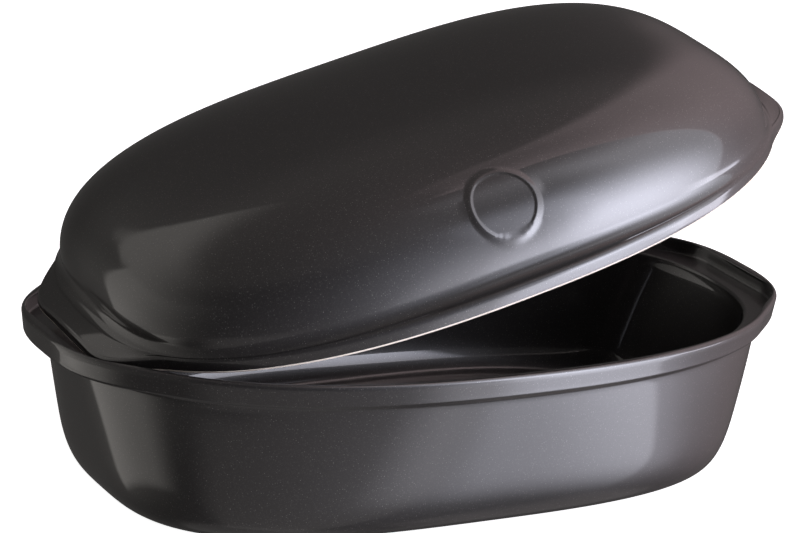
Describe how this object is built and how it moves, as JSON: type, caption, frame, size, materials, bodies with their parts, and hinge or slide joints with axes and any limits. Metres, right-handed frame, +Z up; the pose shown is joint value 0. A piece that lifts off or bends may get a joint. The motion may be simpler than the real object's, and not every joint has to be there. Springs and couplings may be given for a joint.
{
  "type": "bread cloche",
  "caption": "Long oval baking dish with proud rim and end lips, and a domed lid with end grips that seats inside the rim and stands tilted open",
  "frame": {"origin": "middle of the flat foot under the dish", "axes": "+Z is up and +X runs along the dish, towards the end where the lid stands open; -Y is the side with the lid's round pad"},
  "size_m": [0.365, 0.216, 0.2008],
  "materials": {
    "dish_glaze": "gloss",
    "lid_glaze": "gloss"
  },
  "bodies": {
    "dish": {"base_dish": "dish_glaze"},
    "lid": {"domed_lid": "lid_glaze"}
  },
  "joints": [
    {"name": "lid_tilt", "type": "hinge", "parent": "dish", "child": "lid", "pos_m": [-0.16514, -0.05366, 0.0973], "axis": [0.309, -0.9511, 0], "range_deg": [-16.1, 28]}
  ]
}
